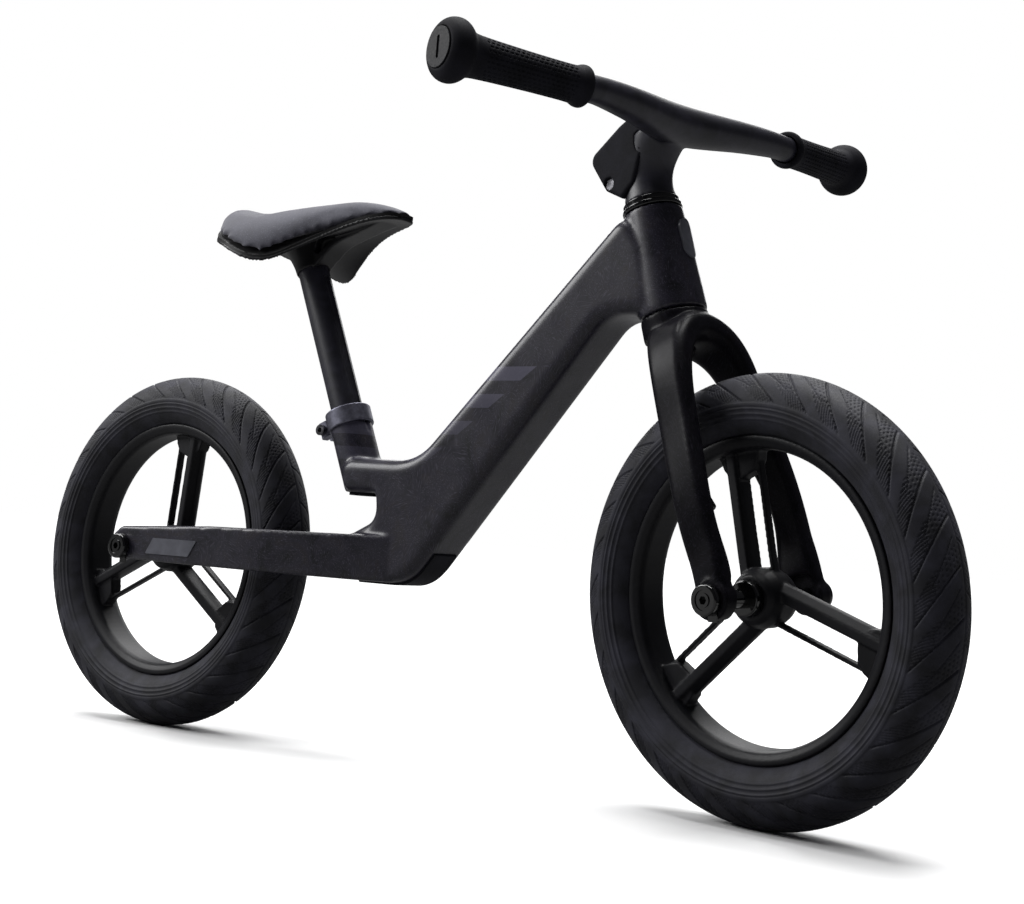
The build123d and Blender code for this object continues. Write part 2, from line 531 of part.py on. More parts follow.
def seat_pieces():
    """Post, base with its nose gusset, trim, pad, screws and clamp."""
    post_foot = SEAT_TUBE_TOP - POST_INSERTION
    post = rod(seat_plane(post_foot), POST_R, SHROUD_TOP - post_foot)
    hollow = rod(seat_plane(post_foot), POST_R - 2.2, SHROUD_TOP - post_foot - 4)
    flute = rod(seat_plane(-10, POST_R + 2.2), 4.2, 118)
    post -= hollow
    post -= flute
    pad = saddle_layer(0, PAD_DROP, 3.0, 0.0)
    trim = saddle_layer(PAD_DROP, PAD_DROP + TRIM_T, 0.0, -TRIM_T, inset=0.8) - pad
    base = saddle_layer(PAD_DROP + TRIM_T, PAD_DROP + TRIM_T + BASE_T, -TRIM_T, -TRIM_T - BASE_T, inset=0.2)
    above = pad + trim
    shroud = loft([seat_plane(117) * Ellipse(14.0, 14.0), seat_plane(126) * Ellipse(14.6, 15.2),
                   seat_plane(142) * Ellipse(19, 21)])
    gusset = side_slab([(-154, 386), (-146, 386), (-124, 406), (-68, 424), (-68, 427), (-100, 424), (-150, 412)],
                       [1, 2, 40, 1, 1, 20, 4], 10)
    hollow_side = [(-146, 395), (-125, 411), (-96, 419), (-110, 420), (-143, 411)]
    for y in (-10, 2.5):
        cut = Plane.XZ * make_face(FilletPolyline(*hollow_side, radius=[3, 20, 1.5, 14, 5], close=True))
        gusset -= Pos(0, y + 7.5, 0) * extrude(cut, 7.5)
    base = base + ((shroud + gusset) - above - saddle_top_cut())
    base -= above
    base -= rod(seat_plane(60), POST_R, SHROUD_TOP - 60)
    base -= rod(seat_plane(SHROUD_TOP - 1), 3.2, 40)
    base = base.solids().sort_by(SortBy.VOLUME)[-1]
    screw = rod(seat_plane(SHROUD_TOP - 6), 3.2, 16) + rod(seat_plane(SHROUD_TOP - 9), 5.2, 4.99)
    post -= screw
    add("seat_post", post)
    add("saddle_base", base - screw)
    add("saddle_screw", screw - above)
    add("saddle_trim", trim)
    add("saddle_pad", pad)


def saddle_top_cut():
    """Everything above the underside of the saddle's trim."""
    sections = []
    for x, half_w, edge_z, crown_z in SADDLE:
        rise = crown_z - edge_z
        low = edge_z - TRIM_T
        middle = low + max(rise - PAD_DROP - TRIM_T + TRIM_T, rise * 0.12)
        plane = Plane(origin=(x, 0, 0), x_dir=(0, 1, 0), z_dir=(1, 0, 0))
        line = ThreePointArc((-half_w - 3, low), (0, middle), (half_w + 3, low))
        line += Polyline((half_w + 3, low), (half_w + 3, 470), (-half_w - 3, 470), (-half_w - 3, low))
        sections.append(plane * make_face(line))
    return loft(sections)


CLAMP_R, CLAMP_H, CLAMP_LIP = 18.4, 15.0, 1.6


def clamp_pieces():
    """Split collar on the seat tube, with its cross bolt and barrel nut."""
    start = SEAT_TUBE_TOP - CLAMP_H + CLAMP_LIP
    ring = rod(seat_plane(start), CLAMP_R, CLAMP_H, POST_R + 0.4)
    ring -= rod(seat_plane(start), SEAT_TUBE_R, CLAMP_H - CLAMP_LIP)
    ring = fillet(ring.edges().filter_by(GeomType.CIRCLE).sort_by(SortBy.RADIUS)[-2:], 1.2)
    ear_plane = seat_plane(start, -CLAMP_R - 2.0)
    ears = extrude(ear_plane * RectangleRounded(11, 19, 3), CLAMP_H - 2)
    ears -= rod(seat_plane(start), SEAT_TUBE_R + 0.01, CLAMP_H)
    gap = extrude(seat_plane(start, -CLAMP_R) * Rectangle(24, 3.0), CLAMP_H)
    bolt_at = seat_plane(start + CLAMP_H / 2 - 1, -CLAMP_R - 3.2).origin
    collar = (ring + ears) - gap - (rod(seat_plane(start - 1), SEAT_TUBE_R, CLAMP_H - CLAMP_LIP + 1))
    collar -= cross_rod(bolt_at.X, bolt_at.Z, 2.5, -20, 20)
    add("seat_clamp", collar)
    bolt = cross_rod(bolt_at.X, bolt_at.Z, 2.5, -9.5, 8.0)
    head = cross_rod(bolt_at.X, bolt_at.Z, 4.3, -13.2, -9.5)
    socket = Plane(origin=(bolt_at.X, -13.2, bolt_at.Z), x_dir=(1, 0, 0), z_dir=(0, 1, 0))
    add("seat_clamp_bolt", bolt + head - extrude(socket * RegularPolygon(2.2, 6), 2.2))
    nut = cross_rod(bolt_at.X, bolt_at.Z, 4.3, 9.5, 12.6) + cross_rod(bolt_at.X, bolt_at.Z, 2.5, 8.0, 9.5)
    add("seat_clamp_nut", nut)


# ---------------------------------------------------------------- build and write
wheel_pieces("front", FRONT_X, False, True)
wheel_pieces("rear", REAR_X, True, False)
axle_pieces("front", FRONT_X, True)
axle_pieces("rear", REAR_X, False)
frame_pieces()
headset_pieces()
fork_pieces()
bar_pieces()
seat_pieces()
clamp_pieces()

for name, shape in PARTS.items():
    export_step(shape, f"parts/{name}.step")
print(len(PARTS), "nodes written")
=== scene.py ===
"""Finishes, fine meshes and studio for a child's balance bike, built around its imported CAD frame.

Metres, +X forward, +Y to the rider's left, +Z up, with the origin on the ground between the axles.
"""

import json
import logging
import math
from dataclasses import dataclass, field
from enum import Enum
from typing import Callable, Optional

import bmesh
import bpy
import numpy as np
from mathutils import Matrix, Vector


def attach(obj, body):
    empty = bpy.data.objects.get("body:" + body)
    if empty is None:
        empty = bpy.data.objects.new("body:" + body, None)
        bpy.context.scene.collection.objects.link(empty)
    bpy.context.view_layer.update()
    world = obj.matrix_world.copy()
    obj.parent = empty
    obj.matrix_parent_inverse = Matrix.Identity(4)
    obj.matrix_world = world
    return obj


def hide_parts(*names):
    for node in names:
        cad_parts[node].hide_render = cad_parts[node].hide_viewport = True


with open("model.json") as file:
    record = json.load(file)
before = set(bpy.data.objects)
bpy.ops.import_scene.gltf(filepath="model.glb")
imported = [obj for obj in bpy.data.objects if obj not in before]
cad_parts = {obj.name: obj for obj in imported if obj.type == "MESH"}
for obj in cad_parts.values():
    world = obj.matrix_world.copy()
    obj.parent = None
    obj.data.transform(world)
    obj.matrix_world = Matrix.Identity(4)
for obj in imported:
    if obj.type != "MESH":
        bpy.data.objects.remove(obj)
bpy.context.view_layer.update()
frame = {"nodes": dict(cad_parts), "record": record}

LOG = logging.getLogger("balance_bike")
MM = 0.001
Relief = Callable[[np.ndarray, np.ndarray], np.ndarray]


class Body(Enum):
    """The rigid groups that pieces ride on."""

    FRAME = "frame_group"
    STEERING = "steering_group"
    SEAT = "seat_group"
    FRONT_WHEEL = "front_wheel"
    REAR_WHEEL = "rear_wheel"


class Side(Enum):
    """Rider's right and left, as the sign of y."""

    RIGHT = -1
    LEFT = 1


# ------------------------------------------------------------------ colour and node helpers
def linear(hex_code: str) -> tuple[float, float, float, float]:
    """Turn an sRGB hex colour into linear light.

    Args:
        hex_code: colour as "#rrggbb".

    Returns:
        Linear red, green and blue with an alpha of one.
    """
    channels = [int(hex_code[i:i + 2], 16) / 255 for i in (1, 3, 5)]
    curve = [c / 12.92 if c <= 0.04045 else ((c + 0.055) / 1.055) ** 2.4 for c in channels]
    return curve[0], curve[1], curve[2], 1.0


def per_feature(size_mm: float) -> float:
    """Texture scale that gives features of this real size in millimetres."""
    return 1.0 / (size_mm * MM)


class Sketch:
    """The node tree of one material while it is being drawn."""

    def __init__(self, name: str) -> None:
        """Start an empty tree under this material name."""
        self.material = bpy.data.materials.new(name)
        self.material.use_nodes = True
        self.tree = self.material.node_tree
        self.tree.nodes.clear()

    def add(self, kind: str, settings: Optional[dict] = None, values: Optional[dict] = None,
            links: Optional[dict] = None) -> bpy.types.Node:
        """Add a node with its settings, socket values and incoming links.

        Args:
            kind: node type without its "ShaderNode" prefix.
            settings: attributes of the node itself.
            values: input name or index to value.
            links: input name or index to (node, output name or index).

        Returns:
            The new node.
        """
        node = self.tree.nodes.new("ShaderNode" + kind)
        for key, value in (settings or {}).items():
            setattr(node, key, value)
        for key, value in (values or {}).items():
            node.inputs[key].default_value = value
        for key, (source, output) in (links or {}).items():
            self.tree.links.new(source.outputs[output], node.inputs[key])
        return node

    def place(self) -> bpy.types.Node:
        """Coordinates in metres that stay with the piece."""
        return self.add("TexCoord")

    def noise(self, size_mm: float, detail: float = 3.0, warp: float = 0.0) -> bpy.types.Node:
        """Cloudy noise with features of a real size.

        Args:
            size_mm: size of the features.
            detail: octaves of finer noise.
            warp: how much the noise swirls.

        Returns:
            The noise node.
        """
        return self.add("TexNoise", values={"Scale": per_feature(size_mm), "Detail": detail,
                                            "Distortion": warp},
                        links={"Vector": (self.place(), "Object")})

    def ramp(self, source: bpy.types.Node, output: str, stops: list[tuple[float, str]]) -> bpy.types.Node:
        """Colour ramp on a grey output.

        Args:
            source: node that drives the ramp.
            output: its output name.
            stops: (position, sRGB hex) pairs from low to high.

        Returns:
            The ramp node.
        """
        ramp = self.add("ValToRGB", links={"Fac": (source, output)})
        elements = ramp.color_ramp.elements
        while len(elements) < len(stops):
            elements.new(0.5)
        for element, (position, colour) in zip(elements, stops):
            element.position = position
            element.color = linear(colour)
        return ramp

    def spread(self, source: bpy.types.Node, output: str, low: float, high: float,
               start: float = 0.3, end: float = 0.7) -> bpy.types.Node:
        """Map a grey output between two values.

        Args:
            source: node to read.
            output: its output name.
            low: value at or below start.
            high: value at or above end.
            start: input that gives low.
            end: input that gives high.

        Returns:
            The map range node.
        """
        return self.add("MapRange", values={"From Min": start, "From Max": end, "To Min": low,
                                            "To Max": high}, links={"Value": (source, output)})

    def blend(self, factor: tuple[bpy.types.Node, str], below: tuple[bpy.types.Node, str],
              colour: str) -> bpy.types.Node:
        """Lay a plain colour over another by a factor.

        Args:
            factor: node and output that say how much.
            below: node and output of the colour underneath.
            colour: sRGB hex laid on top.

        Returns:
            The mix node, whose output is "Result".
        """
        mix = self.add("Mix", settings={"data_type": "RGBA"})
        self.tree.links.new(factor[0].outputs[factor[1]], mix.inputs[0])
        self.tree.links.new(below[0].outputs[below[1]], mix.inputs[6])
        mix.inputs[7].default_value = linear(colour)
        return mix

    def relief(self, source: bpy.types.Node, output: str, depth_mm: float,
               below: Optional[bpy.types.Node] = None) -> bpy.types.Node:
        """Bump of a real depth, on top of another if one is given."""
        links = {"Height": (source, output)}
        if below:
            links["Normal"] = (below, "Normal")
        return self.add("Bump", values={"Strength": 1.0, "Distance": depth_mm * MM}, links=links)

    def finish(self, values: dict, links: dict) -> bpy.types.Material:
        """Close the tree with a surface shader.

        Args:
            values: shader socket values.
            links: shader socket links.

        Returns:
            The finished material.
        """
        surface = self.add("BsdfPrincipled", values=values, links=links)
        self.add("OutputMaterial", links={"Surface": (surface, "BSDF")})
        return self.material


# ------------------------------------------------------------------ finishes
@dataclass(frozen=True)
class Finish:
    """A real material and how its surface was made."""

    name: str

    def material(self) -> bpy.types.Material:
        """The finish as a material, made once."""
        return bpy.data.materials.get(self.name) or self.draw(Sketch(self.name))

    def draw(self, sketch: Sketch) -> bpy.types.Material:
        """Draw the finish on a new sketch."""
        raise NotImplementedError


@dataclass(frozen=True)
class StripeSet:
    """Slanted bars printed one above another on both sides of the spar."""

    foot: float              # height of the lowest bar's lower edge
    pitch: float             # bar to bar
    share: float             # part of the pitch that is printed
    count: int
    lean: float              # forward run per unit of height
    start: float             # rear end, measured at height zero
    length: float
    strength: float


@dataclass(frozen=True)
class ForgedComposite(Finish):
    """Chopped-fibre composite, press moulded, under a satin clear coat.

    Swirled clouds and small flakes of slightly different black show through the coat.
    """

    deep: str = "#0e0e15"
    pale: str = "#24222e"
    warm: str = "#242025"
    fibre: str = "#5c5968"
    flake_mm: float = 11.0
    fibre_mm: tuple[float, float] = (9.0, 0.55)      # length and width of a fibre bundle
    cloud_mm: float = 26.0
    grit_mm: float = 0.9
    specular: float = 0.35
    coat: float = 0.3
    stripes: tuple[StripeSet, ...] = ()
    print_colour: str = "#5f5d70"

    def draw(self, sketch: Sketch) -> bpy.types.Material:
        """Draw clouds, fibre flakes, the printed bars and a fine orange peel.

        Args:
            sketch: empty sketch.

        Returns:
            The material.
        """
        clouds = sketch.noise(self.cloud_mm, 5.0, 1.6)
        colour = sketch.ramp(clouds, "Fac", [(0.34, self.deep), (0.52, self.pale), (0.68, self.warm)])
        flakes = sketch.add("TexVoronoi", values={"Scale": per_feature(self.flake_mm)},
                            links={"Vector": (sketch.place(), "Object")})
        tint = sketch.spread(flakes, "Color", 0.0, 0.5, 0.2, 0.9)
        colour = sketch.blend((tint, "Result"), (colour, "Color"), self.pale)
        fibres = self.fibres(sketch, flakes)
        shown = sketch.spread(fibres, "Fac", 0.0, 0.5, 0.54, 0.72)
        colour = sketch.blend((shown, "Result"), (colour, "Result"), self.fibre)
        for bars in self.stripes:
            colour = sketch.blend((self.print_mask(sketch, bars), "Value"), (colour, "Result"),
                                  self.print_colour)
        rough = sketch.spread(sketch.noise(self.cloud_mm, 4.0), "Fac", 0.33, 0.46)
        peel = sketch.relief(sketch.noise(2.2), "Fac", 0.035)
        grit = sketch.relief(sketch.noise(self.grit_mm, 2.0), "Fac", 0.012, peel)
        return sketch.finish(
            {"Specular IOR Level": self.specular, "Coat Weight": self.coat, "Coat Roughness": 0.22},
            {"Base Color": (colour, "Result"), "Roughness": (rough, "Result"), "Normal": (grit, "Normal")})

    def fibres(self, sketch: Sketch, flakes: bpy.types.Node) -> bpy.types.Node:
        """Streaks that run one way inside each flake.

        Args:
            sketch: sketch to add to.
            flakes: cells whose colour gives each flake's direction.

        Returns:
            Noise node whose "Fac" shows the bundles.
        """
        angle = sketch.add("Math", settings={"operation": "MULTIPLY"}, values={1: 12.0},
                           links={0: (flakes, "Color")})
        turned = sketch.add("VectorRotate", values={"Axis": (0.2, 0.95, 0.2)},
                            links={"Vector": (sketch.place(), "Object"), "Angle": (angle, 0)})
        length, width = (per_feature(size) for size in self.fibre_mm)
        stretched = sketch.add("VectorMath", settings={"operation": "MULTIPLY"},
                               values={1: (length, width, width)}, links={0: (turned, 0)})
        return sketch.add("TexNoise", values={"Scale": 1.0, "Detail": 1.5}, links={"Vector": (stretched, 0)})

    def print_mask(self, sketch: Sketch, bars: StripeSet) -> bpy.types.Node:
        """Mask of one set of slanted bars.

        Args:
            sketch: sketch to add to.
            bars: the set's sizes in metres.

        Returns:
            Math node whose value is the strength inside a bar and zero outside.
        """
        def maths(operation: str, first: tuple, second: float) -> bpy.types.Node:
            """One arithmetic step on an output and a number."""
            return sketch.add("Math", settings={"operation": operation}, values={1: second},
                              links={0: first})

        axes = sketch.add("SeparateXYZ", links={"Vector": (sketch.place(), "Object")})
        rise = maths("SUBTRACT", (axes, "Z"), bars.foot)
        steps = maths("DIVIDE", (rise, 0), bars.pitch)
        phase = maths("FRACT", (steps, 0), 0.0)
        masks = [maths("LESS_THAN", (phase, 0), bars.share), maths("GREATER_THAN", (rise, 0), 0.0),
                 maths("LESS_THAN", (steps, 0), float(bars.count))]
        slope = maths("MULTIPLY", (axes, "Z"), bars.lean)
        run = sketch.add("Math", settings={"operation": "SUBTRACT"},
                         links={0: (axes, "X"), 1: (slope, 0)})
        masks += [maths("GREATER_THAN", (run, 0), bars.start),
                  maths("LESS_THAN", (run, 0), bars.start + bars.length)]
        fade = sketch.spread(steps, "Value", bars.strength * 0.25, bars.strength, 0.0, float(bars.count))
        result = maths("MULTIPLY", (fade, "Result"), 1.0)
        for mask in masks:
            result = sketch.add("Math", settings={"operation": "MULTIPLY"},
                                links={0: (result, 0), 1: (mask, 0)})
        return result


@dataclass(frozen=True)
class SatinMoulding(Finish):
    """Fibre-filled polymer from a fine-etched mould: even, low sheen, faint mottling."""

    colour: str = "#17171b"
    mottle: str = "#232228"
    roughness: float = 0.42
    etch_mm: float = 0.8
    etch_depth_mm: float = 0.02
    specular: float = 0.26
    coat: float = 0.08

    def draw(self, sketch: Sketch) -> bpy.types.Material:
        """Draw the mottled colour and the etched grain.

        Args:
            sketch: empty sketch.

        Returns:
            The material.
        """
        colour = sketch.ramp(sketch.noise(14.0, 4.0, 0.6), "Fac", [(0.35, self.colour), (0.7, self.mottle)])
        etch = sketch.noise(self.etch_mm, 2.0)
        rough = sketch.spread(etch, "Fac", self.roughness - 0.05, self.roughness + 0.07)
        return sketch.finish(
            {"Specular IOR Level": self.specular, "Coat Weight": self.coat, "Coat Roughness": 0.3},
            {"Base Color": (colour, "Color"), "Roughness": (rough, "Result"),
             "Normal": (sketch.relief(etch, "Fac", self.etch_depth_mm), "Normal")})


@dataclass(frozen=True)
class MouldedRubber(Finish):
    """Natural rubber from a matt mould: dark, dry surface with a little bloom and handling dust."""

    colour: str = "#1b1b21"
    bloom: str = "#34343f"
    roughness: float = 0.62
    grain_mm: float = 0.7
    depth_mm: float = 0.03
    specular: float = 0.3
    sheen: float = 0.05

    def draw(self, sketch: Sketch) -> bpy.types.Material:
        """Draw bloom over the base and a dry grain.

        Args:
            sketch: empty sketch.

        Returns:
            The material.
        """
        colour = sketch.ramp(sketch.noise(18.0, 5.0, 0.4), "Fac", [(0.38, self.colour), (0.72, self.bloom)])
        grain = sketch.noise(self.grain_mm, 3.0)
        rough = sketch.spread(grain, "Fac", self.roughness - 0.07, self.roughness + 0.1)
        return sketch.finish(
            {"Sheen Weight": self.sheen, "Sheen Roughness": 0.5, "Specular IOR Level": self.specular},
            {"Base Color": (colour, "Color"), "Roughness": (rough, "Result"),
             "Normal": (sketch.relief(grain, "Fac", self.depth_mm), "Normal")})


@dataclass(frozen=True)
class PolishedPlastic(Finish):
    """Piano-black ABS, tool polished: mirror gloss with a trace of fine wiping marks."""

    colour: str = "#060607"
    roughness: float = 0.1

    def draw(self, sketch: Sketch) -> bpy.types.Material:
        """Draw a deep gloss with slightly uneven roughness.

        Args:
            sketch: empty sketch.

        Returns:
            The material.
        """
        wipes = sketch.noise(5.0, 4.0, 1.2)
        colour = sketch.ramp(wipes, "Fac", [(0.3, self.colour), (0.8, "#0c0c0e")])
        rough = sketch.spread(wipes, "Fac", self.roughness - 0.03, self.roughness + 0.06)
        return sketch.finish({"Coat Weight": 0.5, "Coat Roughness": 0.05},
                             {"Base Color": (colour, "Color"), "Roughness": (rough, "Result")})


@dataclass(frozen=True)
class WorkedMetal(Finish):
    """Metal with a fine surface left by blasting, grinding or black oxide."""

    colour: str = "#2b2b2f"
    worn: str = "#3d3d42"
    roughness: float = 0.4
    grain_mm: float = 0.5

    def draw(self, sketch: Sketch) -> bpy.types.Material:
        """Draw the metal with its grain.

        Args:
            sketch: empty sketch.

        Returns:
            The material.
        """
        grain = sketch.noise(self.grain_mm, 3.0)
        colour = sketch.ramp(sketch.noise(4.0, 4.0), "Fac", [(0.35, self.colour), (0.7, self.worn)])
        rough = sketch.spread(grain, "Fac", self.roughness - 0.06, self.roughness + 0.08)
        return sketch.finish(
            {"Metallic": 1.0},
            {"Base Color": (colour, "Color"), "Roughness": (rough, "Result"),
             "Normal": (sketch.relief(grain, "Fac", 0.01), "Normal")})


@dataclass(frozen=True)
class CoatedFabric(Finish):
    """Polyurethane-coated knit stretched over foam: fine pebble, pale speckle, soft sheen."""

    colour: str = "#44444e"
    speck: str = "#7c7c8a"
    pebble_mm: float = 0.9           # drawn about twice as coarse as the real grain so that it shows
    depth_mm: float = 0.06

    def draw(self, sketch: Sketch) -> bpy.types.Material:
        """Draw pebbles, specks and a soft sheen.

        Args:
            sketch: empty sketch.

        Returns:
            The material.
        """
        pebbles = sketch.add("TexVoronoi", values={"Scale": per_feature(self.pebble_mm)},
                             links={"Vector": (sketch.place(), "Object")})
        colour = sketch.ramp(sketch.noise(22.0, 4.0), "Fac", [(0.35, self.colour), (0.7, "#4f4f5a")])
        specks = sketch.spread(sketch.noise(0.8, 2.0), "Fac", 0.0, 0.55, 0.58, 0.72)
        colour = sketch.blend((specks, "Result"), (colour, "Color"), self.speck)
        rough = sketch.spread(pebbles, "Distance", 0.7, 0.86, 0.0, 0.7)
        return sketch.finish(
            {"Sheen Weight": 0.25, "Sheen Roughness": 0.45},
            {"Base Color": (colour, "Result"), "Roughness": (rough, "Result"),
             "Normal": (sketch.relief(pebbles, "Distance", self.depth_mm), "Normal")})


@dataclass(frozen=True)
class PaintedFloor(Finish):
    """Matt white studio floor with barely visible roller texture.

    It looks white, but throws back only a grey's light, as if black flags lay round the bike.
    """

    colour: str = "#fbfbfb"
    flagged: str = "#747474"

    def draw(self, sketch: Sketch) -> bpy.types.Material:
        """Draw an even matt white that is grey to every ray but the eye's.

        Args:
            sketch: empty sketch.

        Returns:
            The material.
        """
        roller = sketch.noise(6.0)
        colour = sketch.ramp(sketch.noise(400.0), "Fac", [(0.3, self.colour), (0.7, "#ffffff")])
        seen = sketch.add("LightPath")
        shown = sketch.add("Mix", settings={"data_type": "RGBA"}, values={6: linear(self.flagged)},
                           links={0: (seen, "Is Camera Ray"), 7: (colour, "Color")})
        return sketch.finish({"Roughness": 0.9, "Specular IOR Level": 0.1},
                             {"Base Color": (shown, "Result"),
                              "Normal": (sketch.relief(roller, "Fac", 0.02), "Normal")})


FRAME_STRIPES = (
    StripeSet(foot=0.2297, pitch=0.0203, share=0.51, count=4, lean=1.35, start=-0.450, length=0.145,
              strength=0.8),
)

FINISHES: dict[str, Finish] = {
    "frame_composite": ForgedComposite("frame_forged_composite_clear_coated", stripes=FRAME_STRIPES),
    # Painted shade: the fork's copy of the forged composite gets darker tones than the frame's, so the fork's
    # sides look shaded; it also has less specular and coat.
    "fork_composite": ForgedComposite("fork_forged_composite_clear_coated", cloud_mm=20.0, specular=0.08,
                                      coat=0.04, deep="#08080b", pale="#131217", warm="#121013",
                                      fibre="#33313b"),
    "satin_composite": SatinMoulding("satin_composite_moulded", colour="#1c1c24", mottle="#2f2e3a",
                                     specular=0.5),
    "wheel_nylon": SatinMoulding("glass_filled_nylon_moulded", colour="#111115", mottle="#18181d",
                                 roughness=0.46, etch_mm=0.7, etch_depth_mm=0.03, coat=0.0),
    "tyre_rubber": MouldedRubber("tyre_rubber_moulded"),
    "tube_rubber": MouldedRubber("butyl_rubber_extruded", colour="#101011", bloom="#19191b"),
    "soft_rubber": MouldedRubber("soft_touch_rubber_moulded", colour="#15151a", bloom="#202028",
                                 roughness=0.7, specular=0.14, sheen=0.0),
    "grip_end": MouldedRubber("rubber_inlay_moulded_smooth", colour="#141418", bloom="#1d1d24", specular=0.14,
                              roughness=0.5, grain_mm=1.1, depth_mm=0.015),
    "plate": SatinMoulding("printed_foil_satin", colour="#55565e", mottle="#6a6b74", roughness=0.35,
                           etch_mm=0.6, etch_depth_mm=0.01, coat=0.4),
    "bearing_steel": WorkedMetal("bearing_steel_ground", colour="#8d8f94", worn="#b5b7bb",
                                 roughness=0.25),
    "gloss_black": PolishedPlastic("abs_piano_black_polished"),
    "anodised_black": WorkedMetal("aluminium_black_anodised_blasted", colour="#6c6c78",
                                  worn="#868694", roughness=0.46),
    "fastener_steel": WorkedMetal("steel_black_oxide", colour="#3a3a3d", worn="#7a7a7e",
                                  roughness=0.32),
    "cap_plastic": SatinMoulding("nylon_base_moulded", colour="#121214", mottle="#1a1a1d",
                                 roughness=0.38, etch_mm=0.9, etch_depth_mm=0.02, coat=0.1),
    "trim_black": MouldedRubber("edge_trim_moulded", colour="#0b0b0c", bloom="#141416",
                                roughness=0.4, grain_mm=1.0, depth_mm=0.01),
    "saddle_cover": CoatedFabric("coated_fabric_over_foam"),
}


# ------------------------------------------------------------------ mesh helpers
def dress(piece: bpy.types.Object, slot: str, body: Optional[Body] = None,
          stands_for: tuple[str, ...] = ()) -> None:
    """Give a piece the finish of its slot, and for a new piece its body, hiding the CAD nodes it replaces.

    Args:
        piece: mesh object in place.
        slot: material slot of the record.
        body: body that a new piece rides on.
        stands_for: CAD nodes that the piece replaces.
    """
    piece.data.materials.clear()
    piece.data.materials.append(FINISHES[slot].material())
    if body:
        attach(piece, body.value)
    if stands_for:
        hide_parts(*stands_for)
    LOG.info("%s: %s, %d faces", piece.name, slot, len(piece.data.polygons))


def new_piece(name: str, mesh: bpy.types.Mesh) -> bpy.types.Object:
    """Link a mesh to the scene as an object, shaded smooth."""
    piece = bpy.data.objects.new(name, mesh)
    bpy.context.scene.collection.objects.link(piece)
    mesh.polygons.foreach_set("use_smooth", [True] * len(mesh.polygons))
    return piece


def settle(piece: bpy.types.Object) -> None:
    """Turn a piece's modifiers into its own mesh."""
    evaluated = piece.evaluated_get(bpy.context.evaluated_depsgraph_get())
    mesh = bpy.data.meshes.new_from_object(evaluated)
    piece.modifiers.clear()
    piece.data = mesh
    mesh.polygons.foreach_set("use_smooth", [True] * len(mesh.polygons))


def softened_copy(nodes: tuple[str, ...], name: str, voxel_mm: float, rounds: int) -> bpy.types.Object:
    """Copy CAD nodes as one even skin whose creases are rounded like a moulding's.

    Args:
        nodes: CAD nodes to copy; more than one are fused.
        name: name of the new piece.
        voxel_mm: grid step of the skin.
        rounds: smoothing rounds; more of them give wider blends.

    Returns:
        The new piece.
    """
    joined = bmesh.new()
    for node in nodes:
        joined.from_mesh(frame["nodes"][node].data)
    mesh = bpy.data.meshes.new(name)
    joined.to_mesh(mesh)
    joined.free()
    piece = new_piece(name, mesh)
    remesh = piece.modifiers.new("skin", "REMESH")
    remesh.mode, remesh.voxel_size = "VOXEL", voxel_mm * MM
    smooth = piece.modifiers.new("blend", "SMOOTH")
    smooth.iterations = rounds
    settle(piece)
    return piece


def ring_mesh(name: str, profile: np.ndarray, steps: int, place: Matrix,
              relief: Optional[Relief] = None) -> bpy.types.Object:
    """Turn a closed profile about an axis, with fine relief along its normals.

    Args:
        name: name of the new piece.
        profile: closed loop of (along the axis, radius) points in millimetres.
        steps: points round the axis.
        place: takes the axis (local z) to the row frame, in metres.
        relief: height in millimetres from (profile index, angle) grids.

    Returns:
        The new piece.
    """
    angles = np.linspace(0, 2 * np.pi, steps, endpoint=False)
    tangent = np.roll(profile, -1, 0) - np.roll(profile, 1, 0)
    normal = np.stack([-tangent[:, 1], tangent[:, 0]], 1)
    normal /= np.maximum(np.linalg.norm(normal, axis=1, keepdims=True), 1e-9)
    index, angle = np.meshgrid(np.arange(len(profile)), angles, indexing="ij")
    height = relief(index, angle) if relief else np.zeros(index.shape)
    along = profile[index, 0] + normal[index, 0] * height
    radius = profile[index, 1] + normal[index, 1] * height
    points = np.stack([radius * np.cos(angle), radius * np.sin(angle), along], -1).reshape(-1, 3) * MM
    points = points @ np.array(place.to_3x3()).T + np.array(place.translation)
    i, j = np.meshgrid(np.arange(len(profile)), np.arange(steps), indexing="ij")
    i_next, j_next = (i + 1) % len(profile), (j + 1) % steps
    faces = np.stack([i * steps + j, i * steps + j_next, i_next * steps + j_next,
                      i_next * steps + j], -1).reshape(-1, 4)
    mesh = bpy.data.meshes.new(name)
    mesh.from_pydata(points.tolist(), [], faces.tolist())
    return new_piece(name, mesh)


def rounded_loop(points: np.ndarray, rounds: int = 3) -> np.ndarray:
    """Cut a closed loop's corners again and again, which rounds them."""
    for _ in range(rounds):
        after = np.roll(points, -1, 0)
        points = np.stack([points * 0.75 + after * 0.25, points * 0.25 + after * 0.75], 1).reshape(-1, 2)
    return points


def resampled(points: np.ndarray, step: float) -> np.ndarray:
    """Space a closed loop's points evenly.

    Args:
        points: closed loop.
        step: distance between new points.

    Returns:
        The evenly spaced loop.
    """
    closed = np.vstack([points, points[:1]])
    run = np.concatenate([[0], np.cumsum(np.linalg.norm(np.diff(closed, axis=0), axis=1))])
    stops = np.linspace(0, run[-1], int(run[-1] / step), endpoint=False)
    return np.stack([np.interp(stops, run, closed[:, k]) for k in (0, 1)], 1)


def groove(distance: np.ndarray, half_width: float, soft: float = 0.35) -> np.ndarray:
    """One inside a groove's half width, easing to zero outside it."""
    t = np.clip((half_width + soft - np.abs(distance)) / soft, 0, 1)
    return t * t * (3 - 2 * t)


